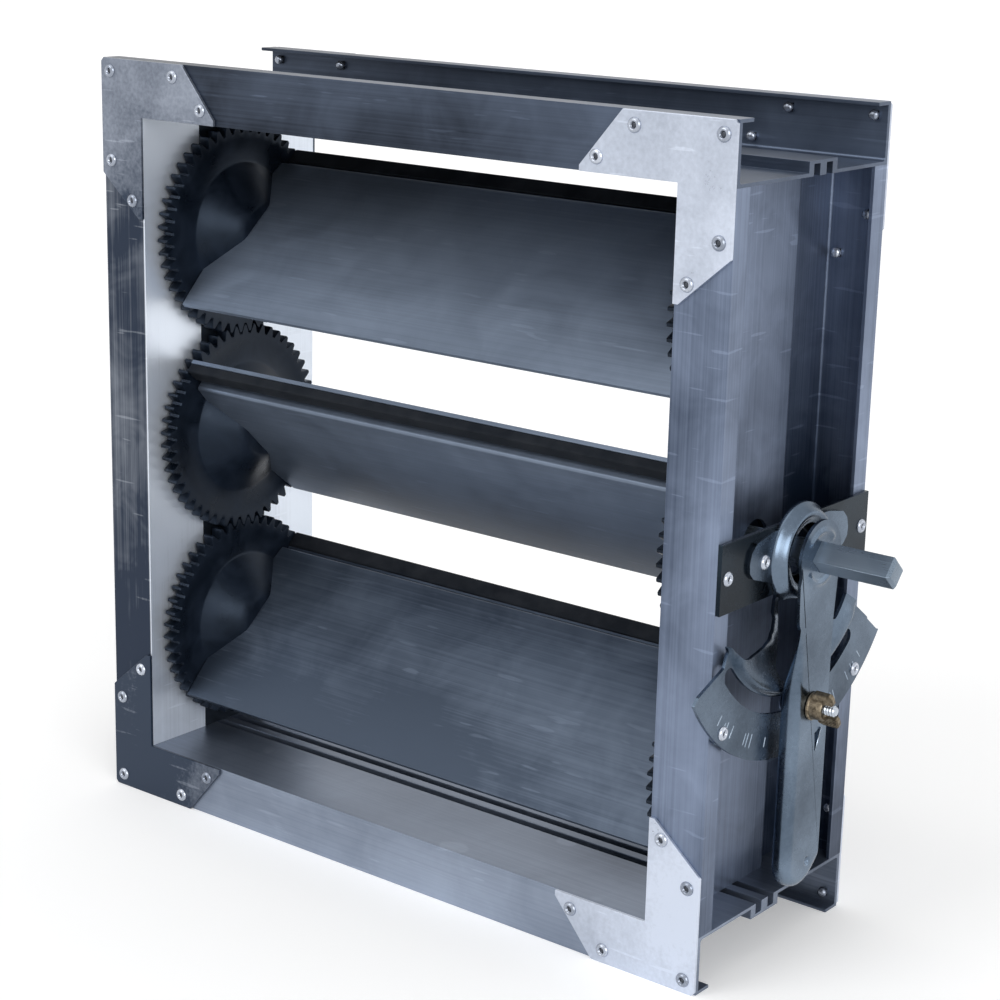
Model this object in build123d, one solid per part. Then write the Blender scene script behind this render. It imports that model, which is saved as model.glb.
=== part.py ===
from build123d import *
import math
import os

# Rectangular air damper: a frame of four extruded members, three hollow blades that turn
# in opposite directions through gears at both ends, and a lever on a quadrant at the right.
# Millimetres. X runs along the blades, Y from front to rear through the duct, Z up.
# The origin is on the plane that the damper stands on, below the middle of the opening.

# Gears and blade spacing
gear_module = 2.0
gear_teeth = 50
blade_count = 3
backlash = 0.3
flank_slope = 0.36
gear_width = 6.5
gear_to_web = 1.5
journal_radius = 10.0
journal_length = 5.5
cone_base_radius = 33.0
cone_tip_radius = 13.0
cone_height = 14.0
cone_sides = 24

# Blades, as seen across the chord
blade_overlap = 6.0
blade_crown = 7.2
crown_offset = 6.0
shoulder_height = 4.2
tip_height = 5.0
lip_inset = 12.0
lip_sheet = 2.0
shoulder_rounding = 1.5
blade_wall = 1.4
rib_spacing = 20.0
rib_thickness = 1.2
blade_seat = 0.15
chamber_slope = 0.25
blade_end_gap = 0.3
rest_turn = 47.5

# Rubber seal along the upper edge of a blade
seal_width = 8.7
seal_height = 4.5
seal_rounding = 1.2
seal_ridge_height = 3.4
seal_ridge_width = 1.2
seal_ridge_inset = 1.6

# Frame members
opening_width = 304.0
edge_gap = 7.5
frame_depth = 117.0
flange_width = 26.5
flange_thickness = 2.0
web_thickness = 1.5
lip_length = 10.0
lip_thickness = 1.5
channel_width = 44.0
channel_depth = 6.0
channel_rounding = 1.5
member_fillet = 1.5
ridge_offset = 6.0
ridge_width = 22.0
ridge_height = 6.3
groove_width = 4.8
groove_spacing = 9.8
groove_roof = 1.3
strip_clearance = 0.1
running_clearance = 0.05

# Corner plates
plate_thickness = 1.5
plate_outer_length = 54.0
plate_slant = 23.0
plate_tip_cut = 2.5
plate_corner_cut = 1.5
plate_rivet_edge = 6.0
plate_rivet_tip = 11.0
plate_rivet_inset = 6.5

# Pop rivets
rivet_head_radius = 3.25
rivet_head_height = 1.3
rivet_shank = 3.4
rivet_head_taper = 35.0
rivet_head_sides = 8
rivet_tail_length = 3.0

# Mounting strip and quadrant on the right side
mount_height = 30.0
mount_thickness = 2.0
shaft_hole_radius = 10.0
sheet = 1.5
hub_foot_radius = 22.0
hub_top_radius = 19.0
hub_hole_radius = 13.5
hub_rise = 5.0
ear_length = 39.5
ear_root_rise = 13.5
ear_shoulder_inset = 5.0
ear_shoulder_rise = 11.0
ear_tip_rise = 5.5
ear_tip_base = 0.5
ear_chin_inset = 3.5
ear_chin_drop = 4.0
ear_root_drop = 10.0
ear_rivet_reach = 28.0
ear_rivet_rise = 1.7
leg_foot = 17.5
leg_waist = 20.5
leg_waist_rounding = 11.0
leg_bow_reach = 41.0
leg_bow_rounding = 12.0
leg_bow_lift = 12.0
leg_tip_rise = 28.8
window_half = 15.5
window_waist_half = 13.5
window_waist_drop = 34.0
window_low_half = 14.8
window_corner_half = 12.5
window_base_half = 7.0
window_base_lift = 3.0
window_corner_lift = 5.5
window_low_lift = 11.0
slot_radius = 66.0
slot_width = 7.4
slot_end_clearance = 0.6
bead_to_slot = 5.0
bead_slope_width = 2.0
bead_rise = 2.6
sector_to_slot = 16.0
band_to_slot = 24.0
sector_front_angle = 208.0
sector_rear_angle = 326.5
band_front_angle = 211.0
band_rear_angle = 325.0
sector_rivet_drop = 66.0
pad_radius = 5.5

# Spindle and lever
spindle_size = 10.0
spindle_projection = 35.5
spindle_chamfer = 1.2
square_clearance = 0.05
lever_height = 8.9
lever_top_radius = 16.0
lever_neck_half = 14.6
lever_neck_drop = 26.0
lever_half = 13.2
lever_length = 150.0
lever_fold_start = 30.0
lever_fold_depth = 6.0
lever_neck_rounding = 6.0
lever_step_rounding = 2.0
lever_shoulder_rounding = 8.0
lever_end_rounding = 12.7
emboss_radius = 11.0
emboss_width = 3.0
emboss_height = 0.9
emboss_start = 35.0
emboss_span = 110.0
emboss_taper = 25.0
pointer_near = 12.0
pointer_length = 10.0
pointer_offset = 4.5
pointer_width = 5.0
dimple_radius = 2.5
dimple_offset = 4.0
dimple_from_end = 10.0

# Clamp
bolt_radius = 2.5
bolt_head_radius = 6.0
bolt_head_sides = 6
bolt_head_height = 1.4
bolt_end = 12.0
spacer_radius = 4.9
spacer_sides = 16
touch_gap = 0.1
nut_base_radius = 6.3
nut_hub_radius = 4.8
nut_hub_height = 7.0
nut_sides = 12
wing_start = 0.5
wing_shoulder = 3.5
wing_root = 1.0
wing_overlap = 0.8
wing_rounding = 2.5
wing_reach = 9.4
wing_length = 12.0
wing_thickness = 2.8
wing_turn = 28.0

# Sizes that follow
pitch_radius = gear_module * gear_teeth / 2
tip_radius = pitch_radius + gear_module
root_radius = pitch_radius - 1.25 * gear_module
blade_spacing = 2 * pitch_radius
half_chord = (blade_spacing + blade_overlap) / 2
box_half = half_chord - lip_inset
opening_height = blade_count * blade_spacing + 2 * edge_gap
frame_height = opening_height + 2 * flange_width
half_width = opening_width / 2
half_outer = half_width + flange_width
half_depth = frame_depth / 2
axis_height = frame_height / 2
lip_middle = half_depth - lip_length / 2
gear_outer_face = half_width - gear_to_web
gear_inner_face = gear_outer_face - gear_width
blade_end = gear_inner_face - blade_end_gap
journal_end = gear_outer_face + journal_length
strip_face = half_width + strip_clearance
mount_face = half_outer + mount_thickness
quadrant_face = mount_face + sheet
lever_back = quadrant_face + lever_height
lever_face = lever_back + sheet
open_turn = 90.0 - rest_turn
slot_front = 270.0 - rest_turn
slot_rear = 270.0 + open_turn
bead_foot_radius = slot_radius - bead_to_slot
bead_ridge_radius = bead_foot_radius - bead_slope_width
band_inner_radius = slot_radius - sector_to_slot
band_outer_radius = slot_radius + band_to_slot
middle_number = (blade_count - 1) // 2


def polar(radius, degrees):
    """Point at a radius and an angle."""
    angle = math.radians(degrees)
    return radius * math.cos(angle), radius * math.sin(angle)


def outline(*corners):
    """Face inside corners, each a point with or without a fillet radius as third value."""
    points = [corner[:2] for corner in corners]
    radii = [corner[2] if len(corner) > 2 else 0 for corner in corners]
    return make_face(FilletPolyline(*points, radius=radii, close=True))


def ring_sector(inner, outer, start, end):
    """Face between two arcs about the axis."""
    span = end - start
    path = CenterArc((0, 0), inner, start, span)
    path += Line(polar(inner, end), polar(outer, end))
    path += CenterArc((0, 0), outer, start, span)
    path += Line(polar(outer, start), polar(inner, start))
    return make_face(path)


def side_plane(distance, height=axis_height):
    """Plane across X on a blade axis: first direction to the rear, second up."""
    return Plane(origin=(distance, 0, height), x_dir=(0, 1, 0), z_dir=(1, 0, 0))


def blade_plane(distance, height, turn):
    """Plane across X on a blade axis: first direction along the chord, second to its front face."""
    angle = math.radians(turn)
    chord = (0, -math.sin(angle), math.cos(angle))
    return Plane(origin=(distance, 0, height), x_dir=chord, z_dir=(1, 0, 0))


def blade_height(number):
    """Height of a blade axis, counted from the lowest."""
    return axis_height + (number - (blade_count - 1) / 2) * blade_spacing


def blade_turn(number):
    """Turn of a blade out of the closed place: neighbours turn in opposite directions."""
    return rest_turn if number % 2 else -rest_turn


# Pop rivets

def rivet(grip):
    """Pop rivet along Z with its head above zero and its tail below the grip, in few faces."""
    base = RegularPolygon(rivet_head_radius, rivet_head_sides)
    head = extrude(base, rivet_head_height, taper=rivet_head_taper)
    length = grip + rivet_tail_length
    return head + Pos(0, 0, -length) * extrude(Rectangle(rivet_shank, rivet_shank), length)


def rivet_hole(grip):
    """Hole for a rivet through the sheets that it holds."""
    depth = grip + 2 * rivet_tail_length
    width = rivet_shank + 2 * running_clearance
    return Pos(0, 0, -grip - rivet_tail_length) * extrude(Rectangle(width, width), depth)


# Frame members

def side_member():
    """Right upright: web with a channel for the bearing strip, two flanges and their lips."""
    channel = channel_width / 2
    bulge = channel_depth + web_thickness
    lip_start = flange_width - lip_thickness
    half = outline(
        (channel_depth, 0),
        (channel_depth, channel, channel_rounding),
        (0, channel),
        (0, half_depth),
        (flange_width, half_depth),
        (flange_width, half_depth - lip_length),
        (lip_start, half_depth - lip_length),
        (lip_start, half_depth - flange_thickness),
        (web_thickness, half_depth - flange_thickness, member_fillet),
        (web_thickness, channel + web_thickness),
        (bulge, channel + web_thickness, channel_rounding + web_thickness),
        (bulge, 0),
    )
    section = half + mirror(half, Plane.XZ)
    return extrude(Pos(half_width, 0, flange_width) * section, opening_height)


def cross_member():
    """Top member: web with a grooved ridge, two flanges and their lips."""
    roof = ridge_height - groove_roof
    ridge_front = ridge_offset - ridge_width / 2
    ridge_rear = ridge_offset + ridge_width / 2
    lip_start = flange_width - lip_thickness
    section = outline(
        (-half_depth, 0),
        (half_depth, 0),
        (half_depth, flange_width),
        (half_depth - lip_length, flange_width),
        (half_depth - lip_length, lip_start),
        (half_depth - flange_thickness, lip_start),
        (half_depth - flange_thickness, web_thickness, member_fillet),
        (ridge_rear, web_thickness),
        (ridge_rear, ridge_height),
        (ridge_front, ridge_height),
        (ridge_front, web_thickness),
        (flange_thickness - half_depth, web_thickness, member_fillet),
        (flange_thickness - half_depth, lip_start),
        (lip_length - half_depth, lip_start),
        (lip_length - half_depth, flange_width),
        (-half_depth, flange_width),
    )
    for side in (-1, 1):
        middle = ridge_offset + side * groove_spacing / 2
        section -= Pos(middle, roof / 2) * Rectangle(groove_width, roof)
    place = side_plane(-half_outer, frame_height - flange_width)
    return extrude(place * section, 2 * half_outer)


# Corner plates

def plate_rivet_points():
    """Rivet places on a corner plate, from its outer corner."""
    near = plate_rivet_edge
    far = plate_outer_length - near
    tip_along = plate_outer_length + plate_slant - plate_rivet_tip
    tip_across = flange_width - plate_rivet_inset
    return [(near, near), (far, near), (near, far), (tip_along, tip_across), (tip_across, tip_along)]


def corner_plate():
    """Plate over the corner of two flanges, flat on the XY plane with its corner at zero."""
    tip = plate_outer_length + plate_slant
    face = outline(
        (plate_corner_cut, 0),
        (plate_outer_length, 0),
        (tip - plate_tip_cut, flange_width - plate_tip_cut),
        (tip - plate_tip_cut, flange_width),
        (flange_width, flange_width),
        (flange_width, tip - plate_tip_cut),
        (flange_width - plate_tip_cut, tip - plate_tip_cut),
        (0, plate_outer_length),
        (0, plate_corner_cut),
    )
    return extrude(face, plate_thickness)


def at_corners(shape):
    """Front copies of a shape made for the lower left corner, named by their corner."""
    place = Plane(origin=(-half_outer, -half_depth, 0), x_dir=(1, 0, 0), z_dir=(0, -1, 0))
    level = Plane(origin=(0, 0, axis_height), z_dir=(0, 0, 1))
    low_left = place * shape
    high_left = mirror(low_left, level)
    return {
        "bottom_left": low_left,
        "bottom_right": mirror(low_left, Plane.YZ),
        "top_left": high_left,
        "top_right": mirror(high_left, Plane.YZ),
    }


# Bearing strips

def bearing_strip():
    """Right strip that fills the channel, with a bore for each journal."""
    depth = channel_width - 2 * strip_clearance
    thickness = channel_depth - 2 * strip_clearance
    height = opening_height - 2 * strip_clearance
    strip = Box(thickness, depth, height)
    strip = chamfer(strip.edges().filter_by(Axis.Z).sort_by(Axis.X)[-2:], channel_rounding)
    strip = Pos(strip_face + thickness / 2, 0, axis_height) * strip
    for number in range(blade_count):
        bore = Cylinder(journal_radius + running_clearance, 3 * channel_depth)
        strip -= side_plane(strip_face, blade_height(number)) * bore
    return strip


# Blades

def blade_arc(inset, start_reach, start_height, end_reach):
    """Curve of the front face, drawn inside it by an inset, between two places on the chord."""
    return ThreePointArc(
        (-start_reach, start_height - inset),
        (-crown_offset, blade_crown - inset),
        (end_reach, shoulder_height - inset),
    )


def half_turned(curve):
    """The same curve on the other face of the blade."""
    return curve.rotate(Axis.Z, 180)


def blade_outline():
    """Section of the blade: a box with a lip at each edge, the same when turned by 180 degrees."""
    front = blade_arc(0, half_chord, tip_height, box_half)
    step = tip_height - lip_sheet
    drop = Polyline(
        (box_half, shoulder_height),
        (box_half, -step),
        (half_chord, -step),
        (half_chord, -tip_height),
    )
    face = make_face(front + drop + half_turned(front) + half_turned(drop))
    shoulders = [
        corner
        for corner in face.vertices()
        if abs(abs(corner.Y) - shoulder_height) < 0.01 and abs(abs(corner.X) - box_half) < 0.01
    ]
    return fillet(shoulders, shoulder_rounding)


def blade_core():
    """Hollow chambers of the blade, parted by ribs."""
    reach = box_half - blade_wall
    front = blade_arc(blade_wall, reach, (tip_height + blade_crown) / 2, reach)
    rear = half_turned(front)
    core = make_face(front + Line(front @ 1, rear @ 0) + rear + Line(rear @ 1, front @ 0))
    for place in (-1.5, -0.5, 0.5, 1.5):
        core -= Pos(place * rib_spacing, 0) * Rectangle(rib_thickness, 4 * blade_crown)
    return core


def seal_ridge():
    """Low ridge on the upper lip that holds the rubber."""
    left = box_half + seal_ridge_inset
    low = -tip_height + lip_sheet / 2
    high = lip_sheet - tip_height + seal_ridge_height
    return outline(
        (left, low),
        (left + seal_ridge_width, low),
        (left + seal_ridge_width, high),
        (left, high),
    )


def blade(number):
    """Extruded blade between its two gears."""
    section = blade_outline() + seal_ridge() - blade_core()
    place = blade_plane(-blade_end, blade_height(number), blade_turn(number))
    return extrude(place * section, 2 * blade_end)


def seal(number):
    """Rubber strip on the upper lip of a blade."""
    left = box_half + seal_ridge_inset + seal_ridge_width
    floor = lip_sheet - tip_height
    section = outline(
        (left, floor),
        (left + seal_width, floor),
        (left + seal_width, floor + seal_height, seal_rounding),
        (left, floor + seal_height, seal_rounding),
    )
    place = blade_plane(-blade_end, blade_height(number), blade_turn(number))
    return extrude(place * section, 2 * blade_end)


# Gears

def gear_outline():
    """Spur gear face with a quarter pitch turn, so that like gears mesh as neighbours."""
    pitch = 360.0 / gear_teeth
    phase = pitch / 4 if gear_teeth % 2 == 0 else 0
    half_tooth = (math.pi * gear_module / 2 - backlash) / 2
    half_angles = (
        (root_radius, half_tooth + gear_module * flank_slope * 1.25),
        (tip_radius, half_tooth - gear_module * flank_slope),
    )
    points = []
    for tooth in range(gear_teeth):
        middle = tooth * pitch + phase
        for radius, half in half_angles:
            points.append(polar(radius, middle - math.degrees(half / radius)))
        for radius, half in reversed(half_angles):
            points.append(polar(radius, middle + math.degrees(half / radius)))
    return make_face(Polyline(*points, close=True))


def gear_cone():
    """Boss that narrows from the gear to the blade, along Z with its base at zero, in flat sides."""
    narrowing = (cone_base_radius - cone_tip_radius) * math.cos(math.pi / cone_sides)
    taper = math.degrees(math.atan(narrowing / cone_height))
    return extrude(RegularPolygon(cone_base_radius, cone_sides), cone_height, taper=taper)


def blade_plug():
    """Section of the plug that fits the middle chamber of the blade."""
    width = rib_spacing - rib_thickness - 2 * blade_seat
    height = 2 * (blade_crown - blade_wall - chamber_slope - blade_seat)
    return Rectangle(width, height)


def gear():
    """Gear for a closed blade on the axis at height zero, on the right side."""
    toothed = Plane(origin=(gear_inner_face, 0, 0), x_dir=(0, 0, 1), z_dir=(1, 0, 0))
    inward = Plane(origin=(gear_inner_face, 0, 0), x_dir=(0, 0, 1), z_dir=(-1, 0, 0))
    outward = Plane(origin=(gear_outer_face, 0, 0), x_dir=(0, 0, 1), z_dir=(1, 0, 0))
    cone = inward * gear_cone()
    pocket = blade_plane(gear_inner_face - cone_height - 1, 0, 0)
    cone -= extrude(pocket * offset(blade_outline(), blade_seat), cone_height + 1)
    plug = extrude(blade_plane(gear_inner_face - cone_height, 0, 0) * blade_plug(), cone_height)
    body = extrude(toothed * gear_outline(), gear_width)
    body += cone + plug
    body += outward * Pos(0, 0, journal_length / 2) * Cylinder(journal_radius, journal_length)
    socket = spindle_size + 2 * square_clearance
    depth = journal_length + gear_width - web_thickness
    square = Rectangle(socket, socket)
    body -= extrude(blade_plane(journal_end - depth, 0, 0) * square, depth)
    return body


def placed_gear(number):
    """Right gear of a blade, turned with it."""
    turned = gear().rotate(Axis.X, blade_turn(number))
    return Pos(0, 0, blade_height(number)) * turned


# Mounting strip and quadrant

def mounting_strip():
    """Flat strip across the lips of the right upright, with the shaft hole."""
    strip = extrude(Rectangle(frame_depth, mount_height), mount_thickness)
    strip -= Pos(0, 0, mount_thickness / 2) * Cylinder(shaft_hole_radius, 2 * mount_thickness)
    return side_plane(half_outer) * strip


def strip_rivet_points():
    """Places of the rivets that hold the mounting strip to the lips."""
    return [(-lip_middle, 0), (lip_middle, 0)]


def ear_rivet_points():
    """Places of the rivets that hold the quadrant's ears to the strip."""
    return [(-ear_rivet_reach, ear_rivet_rise), (ear_rivet_reach, ear_rivet_rise)]


def sector_rivet_points():
    """Places of the rivets that hold the quadrant's sector to the lips."""
    return [(-lip_middle, -sector_rivet_drop), (lip_middle, -sector_rivet_drop)]


def quadrant_ears():
    """Two lugs beside the hub, one of them mirrored."""
    ear = outline(
        (0, ear_root_rise),
        (hub_foot_radius, ear_root_rise),
        (ear_length - ear_shoulder_inset, ear_shoulder_rise),
        (ear_length, ear_tip_rise),
        (ear_length, ear_tip_base),
        (ear_length - ear_chin_inset, -ear_chin_drop),
        (leg_foot, -ear_root_drop),
        (0, -ear_root_drop),
    )
    return ear + mirror(ear, Plane.YZ)


def leg_edge(side, reach):
    """Open space beside a leg, from the hub to the band and out past its end."""
    return outline(
        (side * leg_foot, -ear_root_drop - 2),
        (side * leg_waist, leg_bow_lift - band_inner_radius + sheet, leg_waist_rounding),
        (side * leg_bow_reach, leg_bow_lift - band_inner_radius, leg_bow_rounding),
        (side * reach, -leg_tip_rise),
        (side * 2 * reach, -ear_root_drop),
        (side * 2 * reach, 0),
        (side * leg_foot, 0),
    )


def window_half_points():
    """Right half of the opening between the legs, from the hub down to the bead."""
    return [
        (window_half, 4.0 - hub_foot_radius),
        (window_waist_half, -window_waist_drop),
        (window_low_half, window_low_lift - bead_ridge_radius),
        (window_corner_half, window_corner_lift - bead_ridge_radius),
        (window_base_half, window_base_lift - bead_ridge_radius),
    ]


def leg_window():
    """Opening between the legs, down to the bead."""
    right = window_half_points()
    left = [(-across, up) for across, up in reversed(right)]
    return outline(*right, *left)


def quadrant_slot():
    """Arc slot for the clamp bolt, as long as the travel."""
    end_room = math.degrees((bolt_radius + slot_end_clearance) / slot_radius)
    inner = slot_radius - slot_width / 2
    outer = slot_radius + slot_width / 2
    slot = ring_sector(inner, outer, slot_front - end_room, slot_rear + end_room)
    return fillet(slot.vertices(), slot_width * 0.45)


def quadrant_bead():
    """Raised rib along the inner edge of the band."""
    section = outline(
        (band_inner_radius, 0),
        (bead_foot_radius, 0),
        (bead_foot_radius, sheet),
        (bead_ridge_radius, bead_rise + sheet),
        (band_inner_radius, sheet),
    )
    bead = revolve(Plane.XZ * section, Axis.Z, sector_rear_angle - sector_front_angle)
    return bead.rotate(Axis.Z, sector_front_angle)


def front_cut():
    """Space past the slanting front end of the band."""
    return outline(
        polar(bead_foot_radius - 1.5, 209.1),
        polar(band_outer_radius - 23.5, 214.5),
        polar(band_outer_radius - 4.0, 211.9),
        polar(band_outer_radius + 19.3, 214.6),
        polar(band_outer_radius + 2.2, 192.5),
    )


def rear_notch():
    """Space past the notched rear end of the band."""
    return outline(
        polar(slot_radius + 9.2, 331.4),
        polar(slot_radius + 10.4, 324.5),
        polar(band_outer_radius - 1.2, 324.2),
        polar(band_outer_radius + 13.0, 330.9),
        polar(band_outer_radius + 4.9, 341.6),
    )


def quadrant_band():
    """Flat outer band with the scale, its front end cut slanting and its rear end notched."""
    band = ring_sector(bead_ridge_radius + 1, band_outer_radius, band_front_angle, band_rear_angle)
    return band - front_cut() - rear_notch()


def quadrant_hub():
    """Domed ring round the spindle."""
    section = outline(
        (hub_hole_radius, 0),
        (hub_foot_radius, 0),
        (hub_foot_radius, sheet),
        (hub_top_radius, hub_rise + sheet),
        (hub_hole_radius, hub_rise + sheet),
    )
    return revolve(Plane.XZ * section, Axis.Z)


def quadrant_pad():
    """Boss that reaches back to the lip under a sector rivet."""
    pad = extrude(RegularPolygon(pad_radius, rivet_head_sides), mount_thickness)
    return Pos(0, 0, -mount_thickness) * pad


def quadrant_sheet():
    """Flat parts of the quadrant: ears, legs and slotted band."""
    legs = ring_sector(
        hub_foot_radius - 2, band_inner_radius + 0.5, sector_front_angle, sector_rear_angle
    )
    legs -= leg_edge(-1, band_inner_radius + 2.2)
    legs -= leg_edge(1, band_inner_radius + 10.0)
    flat = Circle(hub_foot_radius) + legs + quadrant_ears() + quadrant_band() - quadrant_slot()
    return flat - Circle(hub_foot_radius - 0.5)


def quadrant():
    """Pressed quadrant: hub, ears, legs, bead, slotted band and rivet pads in one sheet."""
    plate = extrude(quadrant_sheet(), sheet) + quadrant_hub()
    plate += quadrant_bead() - extrude(leg_edge(-1, band_inner_radius + 2.2), 3 * sheet)
    plate -= Pos(0, 0, -sheet) * extrude(leg_window(), 6 * sheet)
    for place in sector_rivet_points():
        plate += Pos(*place, 0) * quadrant_pad()
    return side_plane(mount_face) * plate


# Spindle and lever

def drive_spindle():
    """Square bar from the socket of the middle gear out past the lever."""
    start = journal_end - journal_length - gear_width + web_thickness
    length = lever_face + spindle_projection - start
    bar = extrude(Rectangle(spindle_size, spindle_size), length)
    bar = chamfer(bar.faces().sort_by(Axis.Z)[-1].edges(), spindle_chamfer)
    return blade_plane(start, blade_height(middle_number), blade_turn(middle_number)) * bar


def lever_outline():
    """Lever seen from outside: round head, short neck and a straight arm with a round end."""
    arm = outline(
        (-lever_top_radius, 0),
        (-lever_neck_half, -lever_neck_drop, lever_neck_rounding),
        (-lever_half, -lever_fold_start, lever_step_rounding),
        (-lever_half, -lever_length, lever_end_rounding),
        (lever_half, -lever_length, lever_end_rounding),
        (lever_half, -lever_fold_start, lever_shoulder_rounding),
        (lever_top_radius, 0),
    )
    return Circle(lever_top_radius) + arm


def lever_fold():
    """Edge of the lever that is folded back, down the front and round the end."""
    face = lever_outline()
    rim = face - offset(face, -sheet)
    below = Pos(0, -lever_fold_start - lever_length) * Rectangle(4 * lever_half, 2 * lever_length)
    middle = lever_length / 2
    rear = Pos(middle + lever_half / 2, lever_half - middle) * Rectangle(lever_length, lever_length)
    return (rim & below) - rear


def lever_embossings():
    """Two raised crescents on the head, above and below the spindle."""
    inner = emboss_radius - emboss_width / 2
    outer = emboss_radius + emboss_width / 2
    upper = ring_sector(inner, outer, emboss_start, emboss_start + emboss_span)
    ring = upper + upper.rotate(Axis.Z, 180)
    return Pos(0, 0, sheet) * extrude(ring, emboss_height, taper=emboss_taper)


def lever_openings():
    """Pointer, bolt hole and the dimple near the end, through the sheet."""
    near = -slot_radius - pointer_near
    pointer = outline(
        (pointer_offset, near - pointer_length),
        (pointer_offset + pointer_width - 1, near),
        (pointer_offset - 1, near - 1.5),
    )
    dimple = Pos(dimple_offset, dimple_from_end - lever_length) * RegularPolygon(dimple_radius, 8)
    bolt = Pos(0, -slot_radius) * Circle(bolt_radius + square_clearance)
    through = Pos(0, 0, -sheet) * extrude(pointer + bolt, 3 * sheet)
    return through + Pos(0, 0, sheet / 2) * extrude(dimple, sheet)


def lever():
    """Pressed lever on the spindle."""
    plate = extrude(lever_outline(), sheet)
    plate += Pos(0, 0, -lever_fold_depth) * extrude(lever_fold(), lever_fold_depth)
    plate += lever_embossings()
    plate -= lever_openings()
    hole = spindle_size + 2 * square_clearance
    square = blade_plane(lever_back - sheet, axis_height, blade_turn(middle_number))
    return side_plane(lever_back) * plate - extrude(square * Rectangle(hole, hole), 4 * sheet)


# Clamp

def clamp_plane(distance):
    """Plane across X on the clamp bolt."""
    return side_plane(distance, axis_height - slot_radius)


def clamp_bolt():
    """Flat headed bolt behind the quadrant, through slot, spacer and lever."""
    start = mount_face - touch_gap - bolt_head_height
    length = lever_face + bolt_end - start
    head = extrude(RegularPolygon(bolt_head_radius, bolt_head_sides), bolt_head_height)
    shank = Pos(0, 0, length / 2) * Cylinder(bolt_radius, length)
    return clamp_plane(start) * (head + shank)


def clamp_spacer():
    """Sleeve on the bolt that carries the clamping force from lever to quadrant."""
    length = lever_height - 2 * touch_gap
    section = RegularPolygon(spacer_radius, spacer_sides) - Circle(bolt_radius + running_clearance)
    return clamp_plane(quadrant_face + touch_gap) * extrude(section, length)


def nut_wing():
    """Wing on the right of the nut, with its sides parallel."""
    wing = outline(
        (bolt_radius + wing_root, wing_start),
        (nut_hub_radius + wing_start, wing_start),
        (wing_reach, wing_shoulder),
        (wing_reach, wing_length, wing_rounding),
        (nut_hub_radius - wing_overlap, wing_length),
        (nut_hub_radius - wing_overlap, nut_hub_height - wing_root),
        (bolt_radius + wing_root, nut_hub_height - wing_root),
    )
    return Pos(0, wing_thickness / 2, 0) * extrude(Plane.XZ * wing, wing_thickness)


def wing_nut():
    """Nut with a tapered hub and two wings."""
    taper = math.degrees(math.atan((nut_base_radius - nut_hub_radius) / nut_hub_height))
    hub = extrude(RegularPolygon(nut_base_radius, nut_sides), nut_hub_height, taper=taper)
    nut = hub + nut_wing() + mirror(nut_wing(), Plane.YZ)
    nut -= Cylinder(bolt_radius + running_clearance, 4 * wing_length)
    nut = nut.rotate(Axis.Z, 90.0 + wing_turn)
    return clamp_plane(lever_face + touch_gap) * nut


# Assembly

def fastened(points, plane, grip):
    """Rivets at points of a plane, and their holes."""
    rivets = [plane * Pos(*place, 0) * rivet(grip) for place in points]
    holes = [plane * Pos(*place, 0) * rivet_hole(grip) for place in points]
    return rivets, holes


def drilled(shape, holes):
    """Shape with the holes taken out."""
    for hole in holes:
        shape -= hole
    return shape


def rear(shape):
    """Copy of a front shape on the rear side."""
    return mirror(shape, Plane.XZ)


def all_corners(shapes):
    """Front copies at the four corners of shapes made for the lower left one."""
    return [copy for shape in shapes for copy in at_corners(shape).values()]


def frame_pieces(side_holes):
    """Members, corner plates and their rivets."""
    grip = plate_thickness + flange_thickness
    rivets, holes = fastened(plate_rivet_points(), Plane.XY.offset(plate_thickness), grip)
    front_rivets = all_corners(rivets)
    front_holes = all_corners(holes)
    all_holes = front_holes + [rear(hole) for hole in front_holes]
    top = cross_member()
    right = side_member()
    pieces = {
        "frame_top": drilled(top, all_holes),
        "frame_bottom": drilled(top.rotate(Axis((0, 0, axis_height), (1, 0, 0)), 180), all_holes),
        "frame_left": drilled(mirror(right, Plane.YZ), all_holes),
        "frame_right": drilled(right, all_holes + side_holes),
        "rivets_front": Compound(children=front_rivets),
        "rivets_rear": Compound(children=[rear(pin) for pin in front_rivets]),
    }
    for name, plate in at_corners(drilled(corner_plate(), holes)).items():
        pieces["corner_plate_front_" + name] = plate
        pieces["corner_plate_rear_" + name] = rear(plate)
    return pieces


def side_pieces():
    """Bearing strips, mounting strip and quadrant with their rivets, and the holes in the upright."""
    strip_grip = mount_thickness + lip_thickness
    strip_rivets, strip_holes = fastened(strip_rivet_points(), side_plane(mount_face), strip_grip)
    face = side_plane(quadrant_face)
    ear_rivets, ear_holes = fastened(ear_rivet_points(), face, sheet + mount_thickness)
    sector_rivets, sector_holes = fastened(sector_rivet_points(), face, sheet + strip_grip)
    shaft = side_plane(half_width) * Cylinder(shaft_hole_radius, 4 * channel_depth)
    pieces = {
        "bearing_strip_right": bearing_strip(),
        "bearing_strip_left": mirror(bearing_strip(), Plane.YZ),
        "mounting_strip": drilled(mounting_strip(), strip_holes + ear_holes),
        "strip_rivets": Compound(children=strip_rivets),
        "quadrant": drilled(quadrant(), ear_holes + sector_holes),
        "quadrant_rivets": Compound(children=ear_rivets + sector_rivets),
    }
    return pieces, strip_holes + sector_holes + [shaft]


def blade_pieces(number, name):
    """Blade with its seal and gears."""
    return {
        "blade_" + name: blade(number),
        "seal_" + name: seal(number),
        "gear_right_" + name: placed_gear(number),
        "gear_left_" + name: mirror(placed_gear(number), Plane.YZ),
    }


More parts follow.
